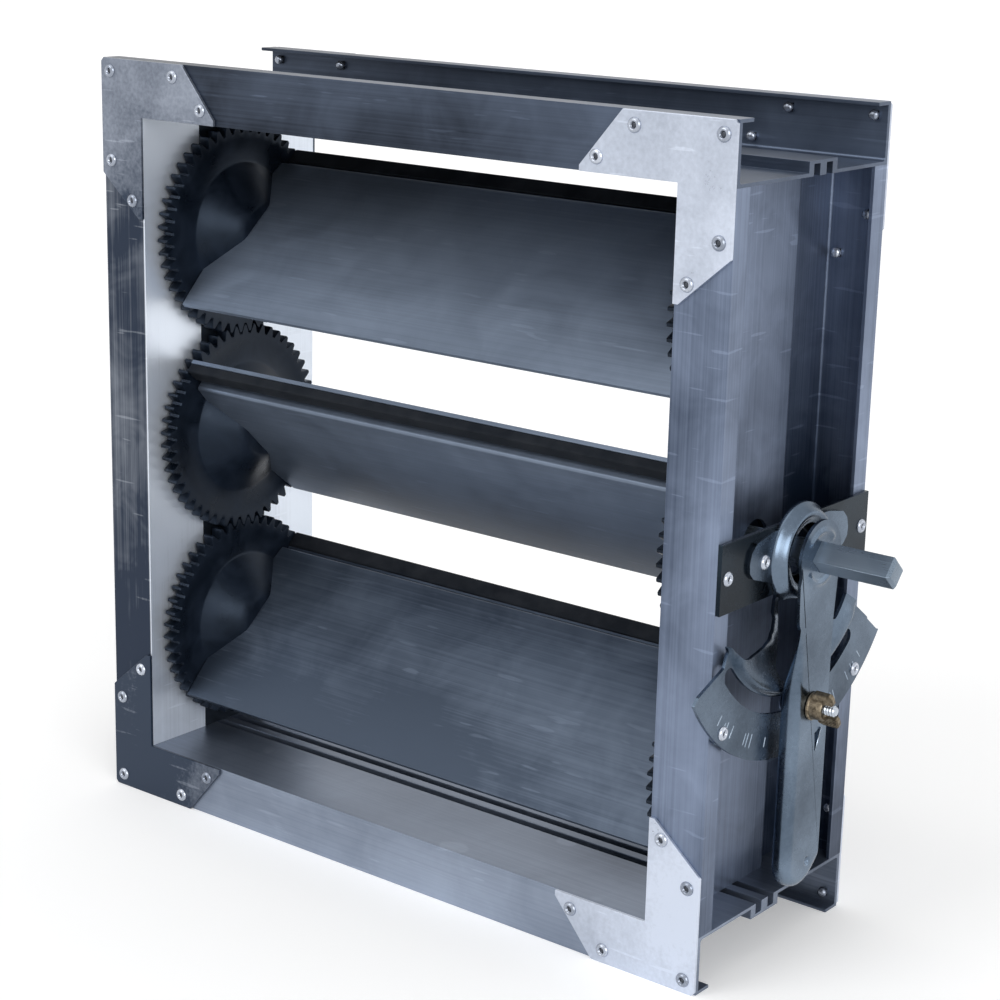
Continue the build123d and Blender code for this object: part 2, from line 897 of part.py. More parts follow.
def damper():
    """All pieces by name."""
    pieces, side_holes = side_pieces()
    pieces.update(frame_pieces(side_holes))
    for number, name in enumerate(("bottom", "middle", "top")):
        pieces.update(blade_pieces(number, name))
    pieces["drive_spindle"] = drive_spindle()
    pieces["lever"] = lever()
    pieces["clamp_bolt"] = clamp_bolt()
    pieces["clamp_spacer"] = clamp_spacer()
    pieces["wing_nut"] = wing_nut()
    return pieces


def main():
    """Write one file for each piece."""
    os.makedirs("parts", exist_ok=True)
    for name, solid in damper().items():
        export_step(solid, f"parts/{name}.step")


if __name__ == "__main__":
    main()
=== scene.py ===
import bpy
import math
from mathutils import Matrix, Vector
from mathutils.geometry import delaunay_2d_cdt
from mathutils.kdtree import KDTree


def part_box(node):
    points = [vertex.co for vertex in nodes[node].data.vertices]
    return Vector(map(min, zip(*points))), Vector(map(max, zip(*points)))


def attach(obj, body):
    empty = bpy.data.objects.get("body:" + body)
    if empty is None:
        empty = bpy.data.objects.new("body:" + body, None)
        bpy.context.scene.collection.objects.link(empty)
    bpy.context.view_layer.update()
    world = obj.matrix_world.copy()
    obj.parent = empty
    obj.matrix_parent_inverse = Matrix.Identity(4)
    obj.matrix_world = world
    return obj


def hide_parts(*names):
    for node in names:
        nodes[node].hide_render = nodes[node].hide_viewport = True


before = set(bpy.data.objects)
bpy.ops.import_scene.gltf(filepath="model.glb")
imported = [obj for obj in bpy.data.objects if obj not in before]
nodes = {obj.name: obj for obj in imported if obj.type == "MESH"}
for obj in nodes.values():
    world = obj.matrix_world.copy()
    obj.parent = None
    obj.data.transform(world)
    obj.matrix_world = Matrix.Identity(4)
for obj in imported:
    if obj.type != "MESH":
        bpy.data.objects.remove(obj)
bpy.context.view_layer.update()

# Places and sizes, in metres
MM = 0.001
SHEET = 0.0015
HALF_WIDTH = 0.1785
HALF_DEPTH = 0.0585
AXIS_HEIGHT = 0.184
CLAMP_DROP = 0.066
SPINDLE_PAST_LEVER = 0.0355
MOUNT_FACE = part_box("mounting_strip")[1].x
QUADRANT_FACE = MOUNT_FACE + SHEET
LEVER_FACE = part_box("drive_spindle")[1].x - SPINDLE_PAST_LEVER

# Pressed sheets, in millimetres over the face that they lie on
FLAT = 1.5
THICK = 1.45
UNDER = 0.05


# Camera and light

SENSOR = 36.0
LENS = 82.19
YAW, PITCH, ROLL = 38.07, -15.30, -1.425
CAMERA_PLACE = (0.65026, -0.80337, 0.45547)

# Direction of the light, strength and apparent size in degrees
SUNS = {
    "key": ((0.35, 0.75, -0.55), 0.7, 35),
    "side": ((-0.82, 0.5, -0.25), 1.3, 40),
    "top": ((0.1, 0.1, -1.0), 0.5, 60),
    "rear": ((-0.72, -0.62, 0.05), 0.5, 60),
}
SKY_LIGHT = 0.55
SKY_SEEN = 1.0
FLOOR_HALF = 30.0
FLOOR_TONE = 0.93
FLOOR_GLOW = 0.22


def make_camera():
    """Camera at the angle and distance of the photograph."""
    bpy.context.scene.view_settings.view_transform = "Standard"
    data = bpy.data.cameras.new("camera")
    data.sensor_width = SENSOR
    data.lens = LENS
    data.clip_end = 100.0
    camera = bpy.data.objects.new("camera", data)
    bpy.context.scene.collection.objects.link(camera)
    yaw, pitch, roll = math.radians(YAW), math.radians(PITCH), math.radians(ROLL)
    turned = Matrix.Rotation(-roll, 3, "Y") @ Matrix.Rotation(-pitch, 3, "X") @ Matrix.Rotation(-yaw, 3, "Z")
    camera.matrix_world = (turned.transposed() @ Matrix.Rotation(math.pi / 2, 3, "X")).to_4x4()
    camera.location = CAMERA_PLACE
    bpy.context.scene.camera = camera


def add_sun(name, direction, strength, angle):
    """Soft sun that shines along a direction."""
    data = bpy.data.lights.new(name, "SUN")
    data.energy = strength
    data.angle = math.radians(angle)
    lamp = bpy.data.objects.new(name, data)
    bpy.context.scene.collection.objects.link(lamp)
    lamp.rotation_euler = Vector(direction).to_track_quat("-Z", "Y").to_euler()


def seen_ray(tree):
    """One for camera, glossy and transmission rays, else zero."""
    path = tree.nodes.new("ShaderNodeLightPath")
    first = math_node(tree, "MAXIMUM", path.outputs["Is Camera Ray"], path.outputs["Is Glossy Ray"])
    return math_node(tree, "MAXIMUM", first, path.outputs["Is Transmission Ray"])


def make_world():
    """White background, with a gentler light on the object."""
    world = bpy.data.worlds.new("studio")
    bpy.context.scene.world = world
    world.use_nodes = True
    tree = world.node_tree
    background = tree.nodes["Background"]
    background.inputs["Color"].default_value = (1, 1, 1, 1)
    level = tree.nodes.new("ShaderNodeMapRange")
    level.inputs["To Min"].default_value = SKY_LIGHT
    level.inputs["To Max"].default_value = SKY_SEEN
    tree.links.new(seen_ray(tree), level.inputs["Value"])
    tree.links.new(level.outputs["Result"], background.inputs["Strength"])


def make_floor():
    """Wide pale floor that catches the shadow."""
    mesh = bpy.data.meshes.new("floor")
    corners = [(-1, -1), (1, -1), (1, 1), (-1, 1)]
    mesh.from_pydata([(x * FLOOR_HALF, y * FLOOR_HALF, 0) for x, y in corners], [], [(0, 1, 2, 3)])
    floor = bpy.data.objects.new("floor", mesh)
    bpy.context.scene.collection.objects.link(floor)
    material = bpy.data.materials.new("floor")
    material.use_nodes = True
    shader = material.node_tree.nodes["Principled BSDF"]
    shader.inputs["Base Color"].default_value = (FLOOR_TONE, FLOOR_TONE, FLOOR_TONE, 1)
    shader.inputs["Roughness"].default_value = 0.9
    shader.inputs["Specular IOR Level"].default_value = 0.0
    shader.inputs["Emission Color"].default_value = (1, 1, 1, 1)
    tree = material.node_tree
    tree.links.new(ranged(tree, seen_ray(tree), 0.0, FLOOR_GLOW), shader.inputs["Emission Strength"])
    mesh.materials.append(material)


# Nodes of the materials

MIX_FACTOR, MIX_DARK, MIX_LIGHT = 0, 6, 7
MIX_COLOUR = 2


def math_node(tree, operation, first, second):
    """Math node on two values, each a socket or a number."""
    node = tree.nodes.new("ShaderNodeMath")
    node.operation = operation
    for socket, value in zip(node.inputs, (first, second)):
        if isinstance(value, (int, float)):
            socket.default_value = value
        else:
            tree.links.new(value, socket)
    return node.outputs[0]


def ranged(tree, value, low, high, start=0.0, end=1.0):
    """Value mapped from a range onto another and kept inside it."""
    node = tree.nodes.new("ShaderNodeMapRange")
    tree.links.new(value, node.inputs["Value"])
    node.inputs["From Min"].default_value = start
    node.inputs["From Max"].default_value = end
    node.inputs["To Min"].default_value = low
    node.inputs["To Max"].default_value = high
    return node.outputs["Result"]


def mixed(tree, factor, dark, light):
    """Colour between two colours."""
    node = tree.nodes.new("ShaderNodeMix")
    node.data_type = "RGBA"
    tree.links.new(factor, node.inputs[MIX_FACTOR])
    node.inputs[MIX_DARK].default_value = (*dark, 1)
    node.inputs[MIX_LIGHT].default_value = (*light, 1)
    return node.outputs[MIX_COLOUR]


def stretched(tree, scales):
    """Object coordinates, scaled for each axis."""
    coordinates = tree.nodes.new("ShaderNodeTexCoord")
    mapping = tree.nodes.new("ShaderNodeMapping")
    mapping.inputs["Scale"].default_value = scales
    tree.links.new(coordinates.outputs["Object"], mapping.inputs["Vector"])
    return mapping.outputs["Vector"]


def noise(tree, vector, scale, detail=3.0, roughness=0.55, distortion=0.0):
    """Noise value on a vector."""
    node = tree.nodes.new("ShaderNodeTexNoise")
    node.inputs["Scale"].default_value = scale
    node.inputs["Detail"].default_value = detail
    node.inputs["Roughness"].default_value = roughness
    node.inputs["Distortion"].default_value = distortion
    tree.links.new(vector, node.inputs["Vector"])
    return node.outputs["Fac"]


def bumped(tree, height, strength, distance, shader):
    """Bump on the shader's normal."""
    node = tree.nodes.new("ShaderNodeBump")
    node.inputs["Strength"].default_value = strength
    node.inputs["Distance"].default_value = distance
    tree.links.new(height, node.inputs["Height"])
    tree.links.new(node.outputs["Normal"], shader.inputs["Normal"])


def new_material(name):
    """Material with its tree and shader."""
    material = bpy.data.materials.new(name)
    material.use_nodes = True
    tree = material.node_tree
    return material, tree, tree.nodes["Principled BSDF"]


def coloured(tree, shader, value, dark, light, start=0.0, end=1.0):
    """Base colour that goes from dark to light as the value goes from start to end."""
    share = ranged(tree, value, 0.0, 1.0, start, end)
    tree.links.new(mixed(tree, share, dark, light), shader.inputs["Base Color"])


def roughened(tree, shader, value, roughness):
    """Roughness about a middle, with a value that swings about a half."""
    tree.links.new(math_node(tree, "ADD", value, roughness - 0.5), shader.inputs["Roughness"])


def spread(tree, parts):
    """Half, plus each noise less its middle, times its amount."""
    total = 0.5
    for value, amount in parts:
        swing = math_node(tree, "MULTIPLY", math_node(tree, "SUBTRACT", value, 0.5), amount)
        total = math_node(tree, "ADD", swing, total)
    return total


def painted_light_gradient(tree, axis, start, end, low, high):
    """Painted light and shade: a value that goes from low to high between two places along one axis of the
    object, in metres.
    """
    coordinates = tree.nodes.new("ShaderNodeTexCoord")
    parts = tree.nodes.new("ShaderNodeSeparateXYZ")
    tree.links.new(coordinates.outputs["Object"], parts.inputs[0])
    return ranged(tree, parts.outputs[axis], low, high, start, end)


PLAIN = (1, 1, 1)
METALLIC = 0.72
COOL_TINT = (0.55, 0.72, 1.0, 1)
# No painted light and shade: a gradient of zero
NO_PAINTED_LIGHT = ("X", 0, 1, 0, 0)


def brushed_metal(name, dark, light, grain, roughness, broad, depth=2.8, painted_light_drift=NO_PAINTED_LIGHT):
    """Rolled or extruded metal: broad soft tones that are partly random and partly painted reflection, fine
    marks along the grain, dull places, thin scratches, and a painted gradient of light and shade along one
    axis.
    """
    material, tree, shader = new_material(name)
    shader.inputs["Metallic"].default_value = METALLIC
    marks = noise(tree, stretched(tree, grain), 1.0, 3.0, 0.6)
    # Broad tone: partly random, partly painted reflection
    wide = noise(tree, stretched(tree, broad), 1.0, 1.0, 0.4, 0.3)
    handled = noise(tree, stretched(tree, PLAIN), 38.0, 3.0, 0.6, 0.6)
    scratches = scratch_value(tree)
    tone = spread(tree, ((wide, depth), (marks, 0.32), (handled, 0.40), (scratches, 0.12)))
    # Painted light and shade: the tone made lighter or darker along one axis
    tone = math_node(tree, "ADD", tone, painted_light_gradient(tree, *painted_light_drift))
    coloured(tree, shader, tone, dark, light)
    roughened(tree, shader, spread(tree, ((handled, 0.16), (marks, 0.08))), roughness)
    height = math_node(tree, "ADD", math_node(tree, "MULTIPLY", marks, 0.35), scratches)
    bumped(tree, height, 0.16, 0.00008, shader)
    return material


def scratch_value(tree):
    """Thin lines at random slants."""
    total = None
    for turn, scale in ((0.5, 900.0), (-0.35, 1300.0)):
        coordinates = tree.nodes.new("ShaderNodeTexCoord")
        mapping = tree.nodes.new("ShaderNodeMapping")
        mapping.inputs["Rotation"].default_value = (turn, turn * 0.7, turn)
        mapping.inputs["Scale"].default_value = (scale * 0.09, scale * 0.09, scale)
        tree.links.new(coordinates.outputs["Object"], mapping.inputs["Vector"])
        lines = noise(tree, mapping.outputs["Vector"], 0.35, 1.0, 0.4)
        thin = ranged(tree, lines, 0.0, 1.0, 0.72, 0.75)
        total = thin if total is None else math_node(tree, "ADD", total, thin)
    return total


def galvanised(name, dark, light, roughness):
    """Zinc coated steel: soft clouds of tone and a fine grain."""
    material, tree, shader = new_material(name)
    shader.inputs["Metallic"].default_value = 1.0
    plain = stretched(tree, PLAIN)
    wide = noise(tree, plain, 16.0, 1.0, 0.4)
    bloom = noise(tree, plain, 70.0, 3.0, 0.55)
    speckle = noise(tree, plain, 700.0, 2.0, 0.6)
    coloured(tree, shader, spread(tree, ((wide, 1.6), (bloom, 0.6), (speckle, 0.25))), dark, light)
    roughened(tree, shader, spread(tree, ((bloom, 0.2), (speckle, 0.1))), roughness)
    bumped(tree, bloom, 0.10, 0.0002, shader)
    return material


def moulded_plastic(name, dark, light, roughness):
    """Black moulded plastic with a fine satin grain and dusty places."""
    material, tree, shader = new_material(name)
    shader.inputs["Specular IOR Level"].default_value = 0.26
    shader.inputs["Specular Tint"].default_value = COOL_TINT
    plain = stretched(tree, PLAIN)
    dust = noise(tree, plain, 55.0, 3.0, 0.6, 0.5)
    grain = noise(tree, plain, 2600.0, 2.0, 0.5)
    coloured(tree, shader, dust, dark, light, 0.4, 0.75)
    dull = math_node(tree, "ADD", ranged(tree, dust, -0.06, 0.14, 0.3, 0.7), roughness)
    tree.links.new(dull, shader.inputs["Roughness"])
    bumped(tree, grain, 0.25, 0.00008, shader)
    return material


def black_rubber(name):
    """Dull extruded rubber with fine lines along it."""
    material, tree, shader = new_material(name)
    shader.inputs["Specular IOR Level"].default_value = 0.14
    shader.inputs["Specular Tint"].default_value = COOL_TINT
    lines = noise(tree, stretched(tree, (8, 1500, 1500)), 1.0, 2.0)
    dust = noise(tree, stretched(tree, PLAIN), 80.0, 4.0, 0.6)
    coloured(tree, shader, dust, (0.006, 0.007, 0.009), (0.022, 0.024, 0.028), 0.35, 0.8)
    tree.links.new(ranged(tree, dust, 0.55, 0.75, 0.3, 0.7), shader.inputs["Roughness"])
    bumped(tree, lines, 0.4, 0.0001, shader)
    return material


def dull_brass(name):
    """Old brass: warm metal with brown tarnish in the hollows."""
    material, tree, shader = new_material(name)
    shader.inputs["Metallic"].default_value = 1.0
    tarnish = noise(tree, stretched(tree, PLAIN), 420.0, 6.0, 0.7, 0.5)
    coloured(tree, shader, tarnish, (0.075, 0.058, 0.040), (0.30, 0.25, 0.18), 0.35, 0.65)
    tree.links.new(ranged(tree, tarnish, 0.5, 0.3, 0.3, 0.7), shader.inputs["Roughness"])
    bumped(tree, tarnish, 0.3, 0.0002, shader)
    return material


def dark_steel(name):
    """Broken mandrel end in a rivet."""
    material, tree, shader = new_material(name)
    shader.inputs["Metallic"].default_value = 1.0
    rough = noise(tree, stretched(tree, PLAIN), 1800.0, 3.0)
    tree.links.new(mixed(tree, rough, (0.03, 0.035, 0.045), (0.12, 0.13, 0.15)), shader.inputs["Base Color"])
    tree.links.new(ranged(tree, rough, 0.35, 0.6), shader.inputs["Roughness"])
    return material


# Stretch of the fine marks and of the broad tones, which are partly painted reflection, for each axis
ALONG_X = (4, 900, 900)
ALONG_Z = (900, 900, 4)
ALONG_Y = (500, 30, 500)
ALL_WAYS = (700, 700, 700)
BROAD_X = (5, 9, 9)
BROAD_Z = (9, 9, 5)

LOOKS = {
    # The four frame members are one aluminium in lighter and darker copies, which is painted light and shade;
    # each has a painted gradient of light along one axis, and the left member's inner side is painted bright.
    "frame_top": brushed_metal(
        "aluminium_top_painted_shading", (0.008, 0.013, 0.024), (0.14, 0.18, 0.26), ALONG_X, 0.38,
        BROAD_X, depth=1.6, painted_light_drift=("X", -0.15, 0.17, -0.42, 0.05),
    ),
    "frame_bottom": brushed_metal(
        "aluminium_bottom_painted_shading", (0.06, 0.08, 0.12), (0.38, 0.44, 0.55), ALONG_X, 0.38,
        BROAD_X, depth=2.0, painted_light_drift=("X", -0.10, 0.12, 0.10, -0.12),
    ),
    "frame_left": brushed_metal(
        "aluminium_left_painted_shading", (0.016, 0.027, 0.052), (0.80, 0.86, 0.95), ALONG_Z, 0.42,
        BROAD_Z, depth=0.7, painted_light_drift=("X", -0.1532, -0.1522, -0.42, 0.60),
    ),
    "frame_right": brushed_metal(
        "aluminium_right_painted_shading", (0.016, 0.028, 0.056), (0.37, 0.45, 0.62), ALONG_Z, 0.38,
        BROAD_Z, depth=1.6, painted_light_drift=("Z", 0.05, 0.28, -0.48, 0.16),
    ),
    # Painted shade and light: darker on the lower blades, lighter on the upper ones
    "blade": brushed_metal(
        "blade_aluminium", (0.045, 0.062, 0.092), (0.27, 0.33, 0.43), ALONG_X, 0.44,
        (5, 12, 12), depth=1.2, painted_light_drift=("Z", 0.05, 0.30, -0.36, 0.18),
    ),
    # Painted shade and light: darker on the left plates, lighter on the right ones
    "plate": brushed_metal(
        "plate_aluminium", (0.03, 0.045, 0.075), (0.66, 0.72, 0.84), ALONG_Y, 0.32,
        (8, 8, 8), depth=0.9, painted_light_drift=("X", -0.15, 0.15, -0.34, 0.34),
    ),
    "rivet": brushed_metal(
        "rivet_aluminium", (0.22, 0.25, 0.31), (0.56, 0.60, 0.68), ALL_WAYS, 0.22, (30, 30, 30),
    ),
    "spindle": brushed_metal(
        "spindle_steel", (0.12, 0.16, 0.21), (0.34, 0.41, 0.49), ALONG_X, 0.28, (20, 60, 60), depth=1.6,
    ),
    "zinc": galvanised("zinc_steel", (0.022, 0.037, 0.060), (0.20, 0.26, 0.34), 0.26),
    "strip": galvanised("galvanised_steel", (0.003, 0.005, 0.008), (0.030, 0.044, 0.060), 0.27),
    "bolt": galvanised("bolt_steel", (0.24, 0.27, 0.32), (0.56, 0.61, 0.68), 0.22),
    # Lighter copy of the zinc, a painted highlight on the stamped scale lines and the pointer
    "mark": galvanised("stamped_painted_highlight", (0.22, 0.28, 0.36), (0.50, 0.58, 0.68), 0.25),
    "gear": moulded_plastic("gear_plastic", (0.003, 0.005, 0.009), (0.011, 0.016, 0.026), 0.30),
    "bearing": moulded_plastic("bearing_plastic", (0.005, 0.007, 0.010), (0.014, 0.018, 0.026), 0.42),
    "rubber": black_rubber("seal_rubber"),
    "brass": dull_brass("nut_brass"),
    "mandrel": dark_steel("mandrel_steel"),
}

NODE_LOOKS = {
    "frame_top": "frame_top",
    "frame_bottom": "frame_bottom",
    "frame_left": "frame_left",
    "frame_right": "frame_right",
    "corner_plate": "plate",
    "rivets": "rivet",
    "strip_rivets": "rivet",
    "quadrant_rivets": "rivet",
    "bearing_strip": "bearing",
    "mounting_strip": "strip",
    "quadrant": "zinc",
    "blade": "blade",
    "seal": "rubber",
    "gear": "gear",
    "drive_spindle": "spindle",
    "lever": "zinc",
    "clamp_bolt": "zinc",
    "clamp_spacer": "zinc",
    "wing_nut": "brass",
}


def look_of(name):
    """Material for a node by the longest part of its name that is listed."""
    keys = [key for key in NODE_LOOKS if name.startswith(key)]
    return LOOKS[NODE_LOOKS[max(keys, key=len)]]


def dress(thing, material):
    """Put one material on every slot of an object."""
    thing.data.materials.clear()
    thing.data.materials.append(material)


WELD_REACH = 0.000002
LEVEL_ANGLE = 0.5
EDGE_WIDTH = 0.00022
EDGE_ANGLE = 38


def dress_nodes():
    """Material and softened edges for every node of the frame."""
    for name, node in nodes.items():
        dress(node, look_of(name))
        weld = node.modifiers.new("weld", "WELD")
        weld.merge_threshold = WELD_REACH
        flat = node.modifiers.new("flat", "DECIMATE")
        flat.decimate_type = "DISSOLVE"
        flat.angle_limit = math.radians(LEVEL_ANGLE)
        soft = node.modifiers.new("edges", "BEVEL")
        soft.width = EDGE_WIDTH
        soft.segments = 2
        soft.limit_method = "ANGLE"
        soft.angle_limit = math.radians(EDGE_ANGLE)
        even = node.modifiers.new("normals", "WEIGHTED_NORMAL")
        even.keep_sharp = True


# Meshes

def new_piece(name, verts, faces, body, material, slot):
    """Mesh object that rides on a body."""
    mesh = bpy.data.meshes.new(name)
    mesh.from_pydata(verts, [], faces)
    mesh.update()
    piece = bpy.data.objects.new(name, mesh)
    bpy.context.scene.collection.objects.link(piece)
    mesh.materials.append(material)
    mesh.shade_smooth()
    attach(piece, body)
    return piece


def ring_faces(rows, count):
    """Faces between rings of points, with the same count in each ring."""
    faces = []
    for row in range(rows - 1):
        low, high = row * count, (row + 1) * count
        for step in range(count):
            after = (step + 1) % count
            faces.append((low + step, low + after, high + after, high + step))
    return faces


def end_faces(rows, count):
    """Faces that close the first and the last ring."""
    last = (rows - 1) * count
    return [tuple(reversed(range(count))), tuple(range(last, last + count))]


def turned_profile(profile, segments):
    """Vertices and faces of a profile of (radius, height) turned about Z, closed at both ends."""
    verts = []
    for radius, height in profile:
        for step in range(segments):
            angle = 2 * math.pi * step / segments
            verts.append((radius * math.cos(angle), radius * math.sin(angle), height))
    return verts, ring_faces(len(profile), segments) + end_faces(len(profile), segments)


def add_mesh(store, verts, faces):
    """Add vertices and faces to the two lists of a mesh."""
    base = len(store[0])
    store[0].extend(verts)
    store[1].extend(tuple(base + corner for corner in face) for face in faces)


def placed(verts, place):
    """Vertices moved by a matrix."""
    return [tuple(place @ Vector(vert)) for vert in verts]


# Rivets, in millimetres: radius and height from the hollow of the head outwards, and the tail past the grip
RIVET_HEAD = [
    (1.3, 0.15), (1.42, 0.85), (1.62, 1.12), (1.95, 1.22), (2.35, 1.12),
    (2.75, 0.86), (3.05, 0.5), (3.2, 0.18), (3.23, 0.0),
]
RIVET_SHANK = 1.65
RIVET_TAIL = [(1.0, -2.9), (2.0, -2.4), (2.3, -1.2), (RIVET_SHANK, -0.2)]
MANDREL = [(1.25, 0.1), (1.25, 0.2), (1.0, 0.5), (0.45, 0.62)]

# Grips in metres, and places of the rivets in millimetres
PLATE_GRIP = 0.0035
QUADRANT_GRIP = 0.005
CORNER_PLACES = [(6, 6), (48, 6), (6, 48), (66, 20), (20, 66)]
EAR_OUT = 28
EAR_UP = 1.7
RIVET_OUT = 53.5
BAND_DROP = 66.0


def rivet_mesh(grip):
    """Pop rivet head with its hollow, its shank and a swollen tail."""
    head = [(radius * MM, height * MM) for radius, height in reversed(RIVET_HEAD)]
    tail = [(radius * MM, -grip + height * MM) for radius, height in RIVET_TAIL]
    return turned_profile(tail + [(RIVET_SHANK * MM, 0.0)] + head, 20)


def mandrel_mesh():
    """Broken end of the mandrel inside the head."""
    return turned_profile([(radius * MM, height * MM) for radius, height in MANDREL], 12)


def rivet_set(node, places, grip):
    """Rivets of the frame in place of a node, each at a point with its outward direction."""
    rivets = ([], [])
    mandrels = ([], [])
    for point, outward in places:
        turn = Vector((0, 0, 1)).rotation_difference(Vector(outward)).to_matrix().to_4x4()
        place = Matrix.Translation(point) @ turn
        for store, (verts, faces) in ((rivets, rivet_mesh(grip)), (mandrels, mandrel_mesh())):
            add_mesh(store, placed(verts, place), faces)
    piece = new_piece(node + "_domed", *rivets, "frame", LOOKS["rivet"], "rivet_aluminium")
    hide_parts(node)
    new_piece(node + "_mandrels", *mandrels, "frame", LOOKS["mandrel"], "rivet_aluminium")


def corner_places(front):
    """Rivet points on the four corner plates of one side of the frame."""
    height = 2 * AXIS_HEIGHT
    side = -1 if front else 1
    places = []
    for along, up in CORNER_PLACES:
        for left in (-1, 1):
            for low in (True, False):
                x = left * (HALF_WIDTH - along * MM)
                z = up * MM if low else height - up * MM
                places.append(((x, side * (HALF_DEPTH + SHEET), z), (0, side, 0)))
    return places


def side_place(y, z, x):
    """Point and direction of a rivet on the right side, about the spindle axis."""
    return ((x, y * MM, AXIS_HEIGHT + z * MM), (1, 0, 0))


def make_rivets():
    """All pop rivets."""
    rivet_set("rivets_front", corner_places(True), PLATE_GRIP)
    rivet_set("rivets_rear", corner_places(False), PLATE_GRIP)
    ends = [side_place(y, 0, MOUNT_FACE) for y in (-RIVET_OUT, RIVET_OUT)]
    rivet_set("strip_rivets", ends, PLATE_GRIP)
    spots = [(-EAR_OUT, EAR_UP), (EAR_OUT, EAR_UP), (-RIVET_OUT, -BAND_DROP), (RIVET_OUT, -BAND_DROP)]
    rivet_set("quadrant_rivets", [side_place(y, z, QUADRANT_FACE) for y, z in spots], QUADRANT_GRIP)


# Plates cut from a sheet

def arc(radius, start, end, count, middle=(0, 0)):
    """Points along an arc, from one angle to another."""
    points = []
    for step in range(count + 1):
        angle = math.radians(start + (end - start) * step / count)
        points.append((middle[0] + radius * math.cos(angle), middle[1] + radius * math.sin(angle)))
    return points


def divided(loop, step):
    """Closed loop with points at most a step apart."""
    points = []
    for (x0, y0), (x1, y1) in zip(loop, loop[1:] + loop[:1]):
        parts = max(1, math.ceil(math.hypot(x1 - x0, y1 - y0) / step))
        points += [(x0 + (x1 - x0) * part / parts, y0 + (y1 - y0) * part / parts) for part in range(parts)]
    return points


def open_line(points, step):
    """Points along an open line, at most a step apart."""
    closed = divided(points, step)
    return closed[:closed.index(points[-1]) + 1]


def softened(loop, rounds):
    """Closed loop with its corners cut a few times."""
    for _ in range(rounds):
        points = []
        for (x0, y0), (x1, y1) in zip(loop, loop[1:] + loop[:1]):
            points.append((0.75 * x0 + 0.25 * x1, 0.75 * y0 + 0.25 * y1))
            points.append((0.25 * x0 + 0.75 * x1, 0.25 * y0 + 0.75 * y1))
        loop = points
    return loop


def within(point, loop):
    """True inside a closed loop."""
    x, y = point
    crossed = False
    for (x0, y0), (x1, y1) in zip(loop, loop[1:] + loop[:1]):
        if (y0 > y) != (y1 > y) and x < (x1 - x0) * (y - y0) / (y1 - y0) + x0:
            crossed = not crossed
    return crossed


def on_plate(point, loops):
    """True inside the first loop and outside the others."""
    return within(point, loops[0]) and not any(within(point, hole) for hole in loops[1:])


def inset(loop, depth):
    """Points beside a closed loop, on both sides of it."""
    beside = []
    for before, (x, y), after in zip(loop[-1:] + loop[:-1], loop, loop[1:] + loop[:1]):
        length = math.hypot(after[0] - before[0], after[1] - before[1])
        across = -(after[1] - before[1]) / length
        up = (after[0] - before[0]) / length
        beside.append((x + depth * across, y + depth * up))
        beside.append((x - depth * across, y - depth * up))
    return beside


def rings(radii, spacing, middle=(0, 0)):
    """Points on circles about a middle."""
    points = []
    for radius in radii:
        count = max(8, round(2 * math.pi * radius / spacing))
        points += arc(radius, 0, 360 - 360 / count, count - 1, middle)
    return points


# Room round a guide point, in millimetres, and round a grid point, as a share of the spacing
GUIDE_ROOM = 0.3
GRID_ROOM = 0.6
# Longest reach of a face from its middle, as a share of the spacing, and how near points count as one
FACE_REACH = 3
MEETING = 0.01


def cell_of(point):
    """Square millimetre that a point lies in."""
    return (math.floor(point[0]), math.floor(point[1]))


def has_room(point, cells, room):
    """True where no kept point is nearer than the room, which is at most a millimetre."""
    column, row = cell_of(point)
    around = [(column + across, row + up) for across in (-1, 0, 1) for up in (-1, 0, 1)]
    return all(math.dist(point, other) > room for cell in around for other in cells.get(cell, ()))


def inner_points(loops, guides, spacing):
    """The guide points and then an even grid, on the plate and clear of each other."""
    cells = {}
    for loop in loops:
        for point in loop:
            cells.setdefault(cell_of(point), []).append(point)
    xs = [point[0] for point in loops[0]]
    ys = [point[1] for point in loops[0]]
    left, low = min(xs), min(ys)
    columns = range(math.ceil((max(xs) - left) / spacing))
    rows = range(math.ceil((max(ys) - low) / spacing))
    grid = [(left + column * spacing, low + row * spacing) for row in rows for column in columns]
    kept = []
    for points, room in [(group, GUIDE_ROOM) for group in guides] + [(grid, GRID_ROOM * spacing)]:
        for point in points:
            if on_plate(point, loops) and has_room(point, cells, room):
                kept.append(point)
                cells.setdefault(cell_of(point), []).append(point)
    return kept


def plate_mesh(loops, spacing, top, bottom, guides=(), open_points=()):
    """Plate inside the first loop, with the others as holes, between two height functions.

    It is closed all round, except between points that are left open for another strip to join.
    """
    points = []
    edges = []
    for loop in loops:
        base = len(points)
        points += loop
        edges += [(base + step, base + (step + 1) % len(loop)) for step in range(len(loop))]
    points += inner_points(loops, guides, spacing)
    flat, _, faces, *_ = delaunay_2d_cdt([Vector(point) for point in points], edges, [], 0, 0.00001)
    kept = []
    for face in faces:
        middle = sum((flat[corner] for corner in face), Vector((0, 0))) / len(face)
        reach = max((flat[corner] - middle).length for corner in face)
        if reach < FACE_REACH * spacing and on_plate(middle, loops):
            kept.append(tuple(face))
    count = len(flat)
    verts = [(x, y, top(x, y)) for x, y in flat] + [(x, y, bottom(x, y)) for x, y in flat]
    solid = kept + [tuple(count + corner for corner in reversed(face)) for face in kept]
    sides = set()
    for face in kept:
        sides.update(zip(face, face[1:] + face[:1]))
    left_open = set()
    for number, point in enumerate(flat):
        if any((point - Vector(other)).length < MEETING for other in open_points):
            left_open.add(number)
    for first, second in sides:
        if (second, first) not in sides and not (first in left_open and second in left_open):
            solid.append((second, first, count + first, count + second))
    return verts, solid


def underside(top):
    """Height function of a sheet's inner face, from that of its outer face."""
    return lambda across, up: top(across, up) - THICK


